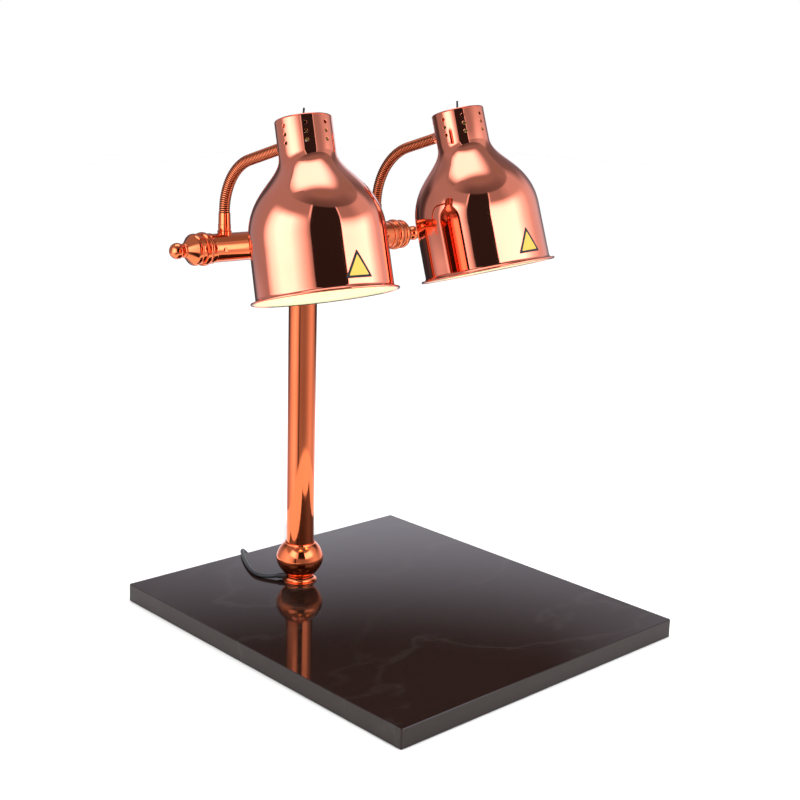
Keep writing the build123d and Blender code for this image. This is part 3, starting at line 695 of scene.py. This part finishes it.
def vent_cell(angle, depth, outer, inner):
    """One cell of the neck's wall with a vent hole: faces as lists of (radius, angle, depth) corners."""
    border = ring_around(COLUMN_STEPS, ROW_STEPS)
    count = len(border)
    corner = 180 / count * ROW_STEPS
    half_angle = 180 / VENT_COLUMNS
    half_width = radians(half_angle) * outer

    def loop(radius_of_hole, share, wall):
        points = []
        for k, (across, along) in enumerate(border):
            a = radians(-corner + 360 * k / count)
            x = radius_of_hole * cos(a) * (1 - share) + across * half_width * share
            z = radius_of_hole * sin(a) * (1 - share) + along * ROW_HEIGHT / 2 * share
            points.append((wall, angle + degrees(x / outer), -depth + z))
        return points

    loops = [
        loop(VENT_RADIUS, 1, outer), loop(VENT_RADIUS * 1.5, 0.45, outer),
        loop(VENT_RADIUS * 1.35, 0, outer), loop(VENT_RADIUS + 0.3, 0, outer),
        loop(VENT_RADIUS + 0.08, 0, outer - 0.09), loop(VENT_RADIUS, 0, outer - 0.3),
        loop(VENT_RADIUS, 0, inner), loop(VENT_RADIUS * 1.5, 0.45, inner), loop(VENT_RADIUS, 1, inner),
    ]
    faces = []
    for a, b in zip(loops, loops[1:]):
        for k in range(count):
            n = (k + 1) % count
            faces.append([a[k], a[n], b[n], b[k]])
    return faces


def wall_patch(angles, depths, radius):
    """A plain patch of the neck's wall."""
    faces = []
    for a, b in zip(angles, angles[1:]):
        for c, d in zip(depths, depths[1:]):
            faces.append([(radius, a, -c), (radius, b, -c), (radius, b, -d), (radius, a, -d)])
    return faces


def shade_outline():
    """The shade's outer line and inner line below the neck's wall, and the bead at the rim."""
    middle = [(NECK_RADIUS - SHEET / 2, -NECK_LENGTH)]
    skirt_middle = SKIRT_RADIUS - SHEET / 2
    shoulder = smooth_through(
        [middle[0], (48.3, -69.4), (67, -92.4), (skirt_middle - 0.9, -124), (skirt_middle, -150)],
        (0, -1), (0.01, -1), 16,
    )
    flare_top = -HEAD_HEIGHT + 6.5
    skirt = [(skirt_middle + 0.15 * k, -150 + (flare_top + 150) * k / 4) for k in range(1, 5)]
    flare = arc((skirt_middle + 0.6 + 5.108, flare_top), 5.108, 180, 266, 12)
    line = [*shoulder, *skirt, *flare[1:]]
    outer, inner = [], []
    for i, point in enumerate(line):
        before, after = line[max(i - 1, 0)], line[min(i + 1, len(line) - 1)]
        dx, dz = after[0] - before[0], after[1] - before[1]
        length = hypot(dx, dz)
        normal = (-dz / length, dx / length)
        outer.append((point[0] + normal[0] * SHEET / 2, point[1] + normal[1] * SHEET / 2))
        inner.append((point[0] - normal[0] * SHEET / 2, point[1] - normal[1] * SHEET / 2))
    outer[0] = (NECK_RADIUS, -NECK_LENGTH)
    inner[0] = (NECK_RADIUS - SHEET, -NECK_LENGTH)
    bead_centre = (RIM_RADIUS - BEAD, -HEAD_HEIGHT + BEAD)
    bead = arc(bead_centre, BEAD, 152, -145, 16)
    return outer[:-1], bead, inner[:-1]


def make_shade(side, head):
    """The spun shade: a pierced neck, a bottle shoulder, a straight skirt and a beaded rim, pale inside with
    a yellow tint of painted glow.
    """
    inner_wall = NECK_RADIUS - SHEET
    column_angle = 360 / VENT_COLUMNS
    cells = []
    for column in range(VENT_COLUMNS):
        angle = VENT_START + column_angle * column
        start = angle - column_angle / 2
        angles = [start + column_angle * k / COLUMN_STEPS for k in range(COLUMN_STEPS + 1)]
        pierced = abs(angle % 360 - 90) > 20
        for depth in VENT_DEPTHS:
            rows = [depth - ROW_HEIGHT / 2 + ROW_HEIGHT * k / ROW_STEPS for k in range(ROW_STEPS + 1)]
            if pierced:
                cells += vent_cell(angle, depth, NECK_RADIUS, inner_wall)
            else:
                cells += wall_patch(angles, rows, NECK_RADIUS) + wall_patch(angles, rows, inner_wall)
        edge = [(NECK_RADIUS, 2.2), (NECK_RADIUS - 0.2, 2.02), (inner_wall, 2.02)]
        for a, b in zip(angles, angles[1:]):
            for (r, c), (s, d) in zip(edge, edge[1:]):
                cells.append([(r, a, -c), (r, b, -c), (s, b, -d), (s, a, -d)])
        cells += wall_patch(angles, [2.2, 3.8, 5.5], NECK_RADIUS)
        cells += wall_patch(angles, [2.02, 3.8, 5.5], inner_wall)
        for radius in (NECK_RADIUS, inner_wall):
            cells += wall_patch(angles, [35.5, 37.5, 39.8, NECK_LENGTH], radius)
    outer, bead, inner = shade_outline()
    first = VENT_START - column_angle / 2
    profile = [*outer, *bead, *inner[::-1]]
    segments = VENT_COLUMNS * COLUMN_STEPS
    for (r, z), (s, y) in zip(profile, profile[1:]):
        for k in range(segments):
            a, b = first + 360 * k / segments, first + 360 * (k + 1) / segments
            cells.append([(r, a, z), (r, b, z), (s, b, y), (s, a, y)])
    vertices, faces, lining = [], [], []
    index = {}
    lining_radii = {round(r, 4) for r, _ in inner} | {round(inner_wall, 4)}
    for cell in cells:
        corners = []
        for radius, angle, height in cell:
            key = (round(radius, 3), round(angle % 360, 3) % 360, round(height, 3))
            if key not in index:
                index[key] = len(vertices)
                a = radians(angle)
                vertices.append(
                    head.top + head.up * height + radius * (head.side * cos(a) + head.back * sin(a))
                )
            corners.append(index[key])
        corners = list(dict.fromkeys(corners))
        if len(corners) > 2:
            faces.append(corners)
            lining.append(int(all(round(corner[0], 4) in lining_radii for corner in cell)))
    shade = add_piece(
        f"{side}_spun_shade", vertices, faces, [SHADE_COPPER, GLOW_TINTED_LINING], "shade_copper", f"{side}_lamp_head",
        face_materials=lining, sharp=38,
    )
    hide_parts(f"{side}_shade")
    round_normals(shade, head)


def round_normals(shade, head):
    """Sets the normals of the neck's wall to the exact ones of a cylinder, so its mirror finish is even."""
    mesh = shade.data
    normals = np.zeros(len(mesh.loops) * 3, np.float32)
    mesh.corner_normals.foreach_get("vector", normals)
    normals = normals.reshape(-1, 3)
    for polygon in mesh.polygons:
        reach, radial = [], []
        for index in polygon.vertices:
            offset = np.array(mesh.vertices[index].co) / MM - head.top
            flat = offset - head.up * (offset @ head.up)
            reach.append(np.linalg.norm(flat))
            radial.append(flat / reach[-1])
        depth = -(np.array(polygon.center) / MM - head.top) @ head.up
        if depth < NECK_LENGTH and all(abs(r - NECK_RADIUS) < 0.01 for r in reach):
            for loop, direction in zip(polygon.loop_indices, radial):
                normals[loop] = direction
    mesh.normals_split_custom_set(normals)


def make_cap(side, head):
    """The pressed cap that closes the neck."""
    inner = NECK_RADIUS - SHEET
    edge = arc((NECK_RADIUS - 2, -2), 2, 90, 6, 8)
    outline = [
        (3.05, 0), (15, 0), *edge, (NECK_RADIUS, -1.84), (NECK_RADIUS - 0.2, -2), (inner - 0.05, -2),
        (inner - 0.05, -7), (inner - SHEET, -7), (inner - SHEET, -1.3), (3.05, -1.3),
    ]
    turned(
        f"{side}_neck_cap", outline, head.top, head.up, head.side, SHADE_COPPER, "shade_copper",
        f"{side}_lamp_head", f"{side}_top_cap", segments=128,
    )


def make_bulb(side, head):
    """The reflector bulb, glowing at its face."""
    flank = smooth_through([(13.1, -88), (20.5, -103), (40, -131), (47.5, -158)], (0, -1), (0, -1), 10)
    shoulder = [(47.5, -160), (47.1, -164), (45.6, -168.5), (43, -171.4), (40, -172.6)]
    face = smooth_through([(40, -172.6), (22, -176.4), (0, -178)], (-1, -0.15), (-1, 0), 10)
    outline = [(0, -79.2), (13.1, -79.2), *flank, *shoulder, *face[1:]]
    outline[-1] = (0, outline[-1][1])
    bulb = turned(
        f"{side}_reflector_bulb", outline, head.top, head.up, head.side, GLASS, "bulb_glass",
        f"{side}_lamp_head", f"{side}_bulb_glass",
    )
    glow = []
    for vertex in bulb.data.vertices:
        offset = np.array(vertex.co) / MM - head.top
        depth = -offset @ head.up
        glow.append(float(np.clip((depth - GLOW_START) / GLOW_DEPTH, 0, 1)))
    bulb.data.attributes.new("glow", "FLOAT", "POINT").data.foreach_set("value", glow)


LABEL_DEPTH = 185
LABEL_HEIGHT = 32
LABEL_HALF_WIDTH = 17.5
LABEL_BORDER = 2.8
LABEL_CORNER = 2.2


def label_outline():
    """A three-cornered outline about its inscribed circle's middle, that middle, and the circle's radius."""
    foot = -LABEL_HEIGHT / 3
    corners = [(0, foot + LABEL_HEIGHT), (-LABEL_HALF_WIDTH, foot), (LABEL_HALF_WIDTH, foot)]
    corners = [np.array(corner) for corner in corners]
    sides = [np.linalg.norm(corners[(i + 1) % 3] - corners[(i + 2) % 3]) for i in range(3)]
    middle = sum(c * s for c, s in zip(corners, sides)) / sum(sides)
    points = []
    for i, corner in enumerate(corners):
        before = (corners[i - 1] - corner) / np.linalg.norm(corners[i - 1] - corner)
        after = (corners[(i + 1) % 3] - corner) / np.linalg.norm(corners[(i + 1) % 3] - corner)
        start, end = corner + before * LABEL_CORNER, corner + after * LABEL_CORNER
        for t in (0, 0.2, 0.4, 0.6, 0.8, 1):
            points.append(start * (1 - t) ** 2 + 2 * corner * t * (1 - t) + end * t * t)
        following = corners[(i + 1) % 3]
        last = following - after * LABEL_CORNER
        points += [end + (last - end) * k / 9 for k in range(1, 9)]
    return [p - middle for p in points], middle, middle[1] - foot


def make_label(side, head):
    """A blank yellow triangle with a black border, on the skirt."""
    outline, middle, inscribed = label_outline()
    border = (inscribed - LABEL_BORDER) / inscribed
    rings = [(1, 0.02), (1, 0.26)]
    border_rings = 4
    rings += [(scale, 0.3) for scale in (0.98, (1 + border) / 2, border, 0.55, 0.25)]
    vertices, faces, paint = [], [], []

    def place(across, along, proud):
        depth = LABEL_DEPTH - along
        radius = SKIRT_RADIUS + 0.6 * (depth - 150) / 51.5 + proud
        a = head.label + across / radius
        return head.top - head.up * depth + radius * (head.side * cos(a) + head.back * sin(a))

    for scale, proud in rings:
        for point in outline:
            across, along = point * scale + middle
            vertices.append(place(across, along, proud))
    vertices.append(place(*middle, 0.3))
    count = len(outline)
    for ring in range(len(rings) - 1):
        for k in range(count):
            n = (k + 1) % count
            low, high = ring * count, (ring + 1) * count
            faces.append((low + k, low + n, high + n, high + k))
            paint.append(0 if ring < border_rings else 1)
    last = (len(rings) - 1) * count
    for k in range(count):
        faces.append((last + k, last + (k + 1) % count, len(vertices) - 1))
        paint.append(1)
    faces.append(tuple(range(count)))
    paint.append(0)
    made = add_piece(
        f"{side}_blank_label", vertices, faces, [LABEL_BLACK, LABEL_YELLOW], "label_yellow",
        f"{side}_lamp_head", face_materials=paint, sharp=50,
    )
    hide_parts(f"{side}_label")


for lamp_side, lamp_head in HEADS.items():
    make_gooseneck(lamp_side, lamp_head)
    make_ferrule(lamp_side, lamp_head)
    make_shade(lamp_side, lamp_head)
    make_cap(lamp_side, lamp_head)
    make_bulb(lamp_side, lamp_head)
    make_label(lamp_side, lamp_head)

# ---- Materials of the CAD nodes ----
NODE_MATERIALS = {
    "base_board": STONE,
    "anti_slip_pads": PAD,
    "base_screws": STEEL,
    "arm_screws": STEEL,
    "finial_screws": TUBE_COPPER,
    "outer_saddles": TUBE_COPPER,
    "inner_saddles": STEEL,
    "terminal_block": PORCELAIN,
    "column_cable": SHEATH,
    "arm_leads": SHEATH,
    "cord_relief": PLUG,
    "cord_tie": TIE,
    "mains_plug": PLUG,
    "plug_pins": BRASS,
    "ferrule_nut": STEEL,
    "neck_nipple": SHADE_COPPER,
    "lock_nuts": STEEL,
    "holder_bracket": STEEL,
    "lampholder": PORCELAIN,
    "screw_shell": BRASS,
    "bulb_cap": BRASS,
    "switch_body": BLACK_PLASTIC,
    "switch_nut": STEEL,
    "switch_lever": BLACK_PLASTIC,
}


def finish_cad_nodes():
    """Gives each CAD node that still shows its own procedural material."""
    for name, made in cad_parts.items():
        if made.hide_render:
            continue
        kind = name.split("_", 1)[1] if name.startswith(("left_", "right_")) else name
        made.data.materials.clear()
        made.data.materials.append(NODE_MATERIALS[kind])


finish_cad_nodes()


# ---- Studio ----
WALL_CENTRE = (-0.05, -0.06)
WALL_RADIUS = 0.6
BACK_TOP = 1.3
FRONT_TOP = 2.1
OVERHEAD = (-0.07, 0.4, 1.9)
OVERHEAD_TURN = radians(57)
OVERHEAD_REACH = (0.48, 0.62)
OVERHEAD_SPREAD = 1.35
OVERHEAD_FADE = (0.5, 1.3)
OVERHEAD_LIGHT = 3.2
ROOM = 0.35

# The studio as polished surfaces show it: (heading, light) stops round the ring, at five heights. A dark
# gap at the front parts two tall softboxes; the back is a dim room. This isn't a plain studio: the stops
# were chosen from the brightness of the photograph's own reflections, traced to such a ring by other
# scripts, and then adjusted.
GROUND_LIGHT = (
    (0, 0.8), (8, 0.9), (20, 1.2), (64, 1.5), (80, 1.0), (97, 0.6), (106, 0.6), (118, 1.0), (150, 1.8),
    (172, 1.2), (186, 0.5), (190, 0.03), (194, 0.03), (199, 0.45), (241, 0.38), (268, 0.5), (294, 0.85),
    (320, 1.15), (344, 0.9), (360, 0.8),
)
LOW_LIGHT = (
    (0, 0.5), (8, 0.25), (20, 0.03), (80, 0.04), (97, 0.1), (106, 0.35), (118, 1.0), (150, 1.8),
    (172, 1.2), (186, 0.5), (190, 0.03), (194, 0.03), (199, 0.45), (241, 0.38), (268, 0.5), (294, 0.85),
    (320, 1.15), (344, 0.9), (360, 0.5),
)
LAMP_LIGHT = (
    (0, 0.75), (8, 0.35), (14, 0.2), (22, 0.25), (26, 0.9), (40, 1.0), (60, 0.5), (80, 0.15), (92, 0.07),
    (100, 0.12), (108, 0.42), (144, 0.5), (155, 2.6), (168, 3.9), (184, 3.7), (196, 2.0), (208.5, 0.47),
    (209.5, 0.03), (256, 0.03), (257, 3.5), (305, 3.9), (323, 1.9), (338, 0.95), (355, 0.85),
    (360, 0.75),
)
BOX_LIGHT = (
    (0, 0.25), (15, 0.2), (40, 0.4), (90, 0.35), (105, 0.48), (205, 0.48), (206, 1.2), (208.5, 1.2),
    (209.5, 0.03), (256, 0.03), (257, 1.2), (259, 1.2), (260, 0.45), (285, 0.45), (310, 0.75),
    (345, 0.75), (360, 0.25),
)
TOP_LIGHT = (
    (0, 0.35), (150, 0.46), (172, 0.36), (190, 0.24), (209, 0.15), (256, 0.17), (300, 0.24),
    (322, 0.34), (340, 0.4), (360, 0.35),
)

# The heights in metres over which each gives way to the next, and the last to the room.
GROUND_FADE = (0.05, 0.33)
LOW_FADE = (0.3, 0.45)
LOW_FADE_BEHIND = (0.52, 0.65)
LAMP_FADE = (0.74, 0.92)
BOX_FADE = (1.18, 1.24)
TOP_FADE = (1.24, 2.1)


def step_between(value, low, high):
    """0 below low, 1 above high, smooth between."""
    t = min(max((value - low) / (high - low), 0), 1)
    return t * t * (3 - 2 * t)


def wall_light(heading, height):
    """How bright the ring of cards is at this heading and height."""
    behind = step_between(heading, 12, 22) * (1 - step_between(heading, 76, 90))
    low_fade = [here + (there - here) * behind for here, there in zip(LOW_FADE, LOW_FADE_BEHIND)]
    light = np.interp(heading, *zip(*GROUND_LIGHT))
    rows = ((LOW_LIGHT, GROUND_FADE), (LAMP_LIGHT, low_fade), (BOX_LIGHT, LAMP_FADE), (TOP_LIGHT, BOX_FADE))
    for stops, fade in rows:
        light += (np.interp(heading, *zip(*stops)) - light) * step_between(height, *fade)
    return light + (ROOM - light) * step_between(height, *TOP_FADE)


def card_material():
    """Light whose strength varies over the card, a value on each of its points."""
    material = bpy.data.materials.new("studio_card")
    material.use_nodes = True
    tree = material.node_tree
    tree.nodes.clear()
    attribute = tree.nodes.new("ShaderNodeAttribute")
    attribute.attribute_name = "light"
    emission = node(tree, "ShaderNodeEmission", Color=(1, 0.99, 1.12, 1))
    output = tree.nodes.new("ShaderNodeOutputMaterial")
    tree.links.new(attribute.outputs["Fac"], emission.inputs["Strength"])
    tree.links.new(emission.outputs["Emission"], output.inputs["Surface"])
    return material


def add_card(name, vertices, faces, light, material):
    """A reflection card, seen only in polished surfaces."""
    mesh = bpy.data.meshes.new(name)
    mesh.from_pydata(vertices, [], faces)
    mesh.attributes.new("light", "FLOAT", "POINT").data.foreach_set("value", light)
    mesh.materials.append(material)
    card = bpy.data.objects.new(name, mesh)
    bpy.context.scene.collection.objects.link(card)
    for ray in ("camera", "diffuse", "shadow", "transmission", "volume_scatter"):
        setattr(card, f"visible_{ray}", False)


def make_wall(material):
    """A ring of reflection cards round the object, taller at the front."""
    columns, rows = 720, 60
    vertices, faces, light = [], [], []
    for row in range(rows + 1):
        for column in range(columns):
            heading = 360 * column / columns
            front = step_between(heading, 150, 165) * (1 - step_between(heading, 325, 340))
            height = (BACK_TOP + (FRONT_TOP - BACK_TOP) * front) * row / rows
            a = radians(heading)
            x, y = WALL_CENTRE[0] + WALL_RADIUS * cos(a), WALL_CENTRE[1] + WALL_RADIUS * sin(a)
            vertices.append((x, y, height))
            light.append(wall_light(heading, height))
    for low in range(0, rows * columns, columns):
        for k in range(columns):
            n = (k + 1) % columns
            faces.append((low + k, low + n, low + columns + n, low + columns + k))
    add_card("studio_wall", vertices, faces, light, material)


def make_overhead(material):
    """A soft-edged card above and behind the lamps."""
    count = 48
    forward = np.array([cos(OVERHEAD_TURN), sin(OVERHEAD_TURN), 0])
    leftward = np.array([-sin(OVERHEAD_TURN), cos(OVERHEAD_TURN), 0])
    vertices, faces, light = [], [], []
    for j in range(count + 1):
        for i in range(count + 1):
            u, v = OVERHEAD_SPREAD * (2 * i / count - 1), OVERHEAD_SPREAD * (2 * j / count - 1)
            place = np.array(OVERHEAD) + OVERHEAD_REACH[0] * u * forward + OVERHEAD_REACH[1] * v * leftward
            vertices.append(tuple(place))
            edge = (u**4 + v**4) ** 0.25
            light.append(ROOM + (OVERHEAD_LIGHT - ROOM) * (1 - step_between(edge, *OVERHEAD_FADE)))
    for j in range(count):
        for i in range(count):
            low = j * (count + 1) + i
            faces.append((low, low + 1, low + count + 2, low + count + 1))
    add_card("studio_overhead", vertices, faces, light, material)


def make_floor():
    """A plain pale floor."""
    mesh = bpy.data.meshes.new("floor")
    reach = 9
    corners = [(-reach, -reach, 0), (reach, -reach, 0), (reach, reach, 0), (-reach, reach, 0)]
    mesh.from_pydata(corners, [], [(0, 1, 2, 3)])
    material = plain("floor", (0.86, 0.86, 0.86), (0.88, 0.88, 0.88), (0.7, 0.8), 3)
    mesh.materials.append(material)
    floor = bpy.data.objects.new("floor", mesh)
    floor.location.z = -0.0002
    bpy.context.scene.collection.objects.link(floor)


def area_light(name, place, aim, size, power):
    """A soft square light that faces a point."""
    data = bpy.data.lights.new(name, "AREA")
    data.shape = "RECTANGLE"
    data.size, data.size_y = size
    data.energy = power
    light = bpy.data.objects.new(name, data)
    bpy.context.scene.collection.objects.link(light)
    light.location = place
    light.rotation_mode = "QUATERNION"
    light.rotation_quaternion = (Vector(aim) - Vector(place)).to_track_quat("-Z", "Y")
    light.visible_camera = False
    light.visible_glossy = False


def make_world():
    """White to the camera, softly bright to rough surfaces, dim in reflections."""
    world = bpy.data.worlds.new("studio")
    world.use_nodes = True
    bpy.context.scene.world = world
    tree = world.node_tree
    background = tree.nodes["Background"]
    background.inputs["Color"].default_value = (1, 1, 1, 1)
    path = tree.nodes.new("ShaderNodeLightPath")
    seen = node(tree, "ShaderNodeMapRange", To_Min=ROOM, To_Max=1.0)
    rough = node(tree, "ShaderNodeMapRange", To_Min=0.0, To_Max=0.9)
    total = tree.nodes.new("ShaderNodeMath")
    tree.links.new(path.outputs["Is Camera Ray"], seen.inputs["Value"])
    tree.links.new(path.outputs["Is Diffuse Ray"], rough.inputs["Value"])
    tree.links.new(seen.outputs["Result"], total.inputs[0])
    tree.links.new(rough.outputs["Result"], total.inputs[1])
    tree.links.new(total.outputs["Value"], background.inputs["Strength"])


card_paint = card_material()
make_wall(card_paint)
make_overhead(card_paint)
make_floor()
make_world()
area_light("overhead", (-0.2, -0.35, 2.1), (-0.05, 0, 0.5), (1.15, 1.15), 26)
bpy.context.scene.view_settings.view_transform = "Standard"
